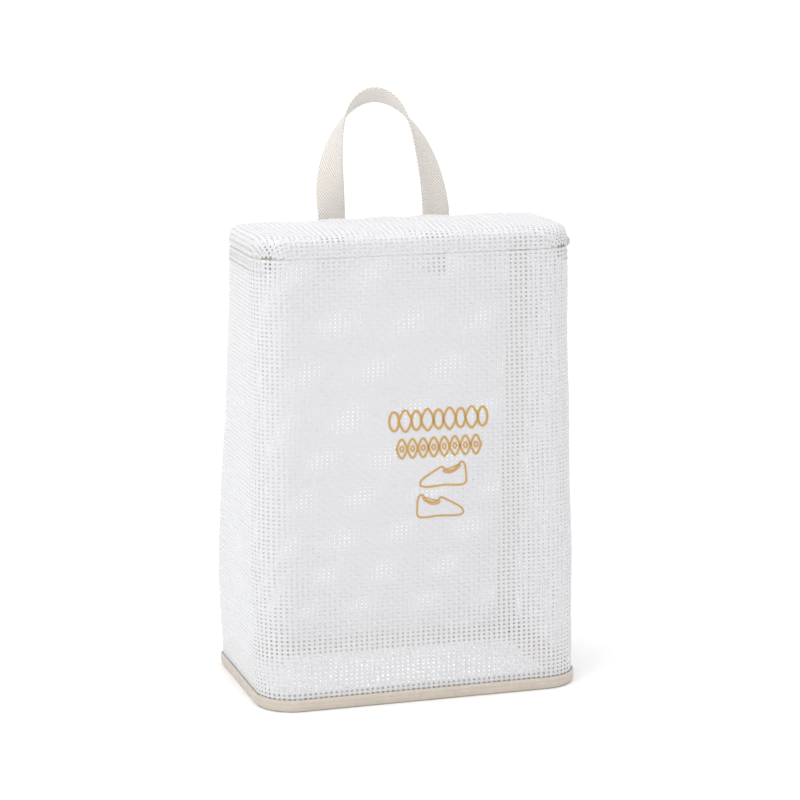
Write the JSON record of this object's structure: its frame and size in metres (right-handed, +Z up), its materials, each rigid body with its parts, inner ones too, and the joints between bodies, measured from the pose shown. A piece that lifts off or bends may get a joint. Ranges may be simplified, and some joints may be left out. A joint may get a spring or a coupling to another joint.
{
  "type": "shoe bag",
  "caption": "Tall soft box of white open grid fabric with cream tape edges, a zipped lid that folds open at the front and a webbing handle loop.",
  "frame": {"origin": "middle of the footprint, on the surface the bag stands on", "axes": "+Z up, -Y the printed front, +X to the right when facing the front"},
  "size_m": [0.2396, 0.1376, 0.4235],
  "materials": {
    "grid_mesh": "coated open grid weave, semi-matte",
    "base_fabric": "plain weave, matte",
    "base_board": "matte sheet",
    "binding_tape": "ribbed woven tape",
    "zipper_tape": "woven tape",
    "zipper_coil": "moulded nylon",
    "slider_enamel": "satin enamel",
    "webbing": "twill webbing",
    "thread": "sewing thread",
    "print_ink": "screen-printed ink, satin"
  },
  "bodies": {
    "bag": {"wrap_mesh": "grid_mesh", "back_mesh": "grid_mesh", "base_fabric": "base_fabric", "base_board": "base_board", "base_lining": "base_fabric", "rim_binding": "binding_tape", "base_seam_tape": "binding_tape", "back_left_binding": "binding_tape", "back_right_binding": "binding_tape", "zipper_tape_body": "zipper_tape", "zipper_coil_body": "zipper_coil", "zipper_stop_left": "zipper_coil", "zipper_stop_right": "zipper_coil", "zipper_tab_left": "binding_tape", "zipper_tab_right": "binding_tape", "handle_end_left": "webbing", "handle_end_right": "webbing", "handle_stitching": "thread"},
    "lid": {"lid_mesh": "grid_mesh", "zipper_tape_lid": "zipper_tape", "zipper_coil_lid": "zipper_coil"},
    "slider": {"zipper_slider": "slider_enamel"},
    "pull": {"zipper_pull": "slider_enamel"},
    "handle": {"handle_loop": "webbing"}
  },
  "joints": [
    {"name": "lid_fold", "type": "hinge", "parent": "bag", "child": "lid", "pos_m": [0, -0.0499, 0.315], "axis": [1, 0, 0], "range_deg": [0, 110]},
    {"name": "zip_slide", "type": "slide", "parent": "bag", "child": "slider", "axis": [0, 1, 0], "range_m": [0, 0.036]},
    {"name": "pull_swing", "type": "hinge", "parent": "slider", "child": "pull", "pos_m": [0.1196, -0.0186, 0.315], "axis": [0, 0, -1], "range_deg": [0, 170]},
    {"name": "handle_fold", "type": "hinge", "parent": "bag", "child": "handle", "pos_m": [0, 0.03773, 0.333], "axis": [1, 0, 0], "range_deg": [-150, 75]}
  ]
}
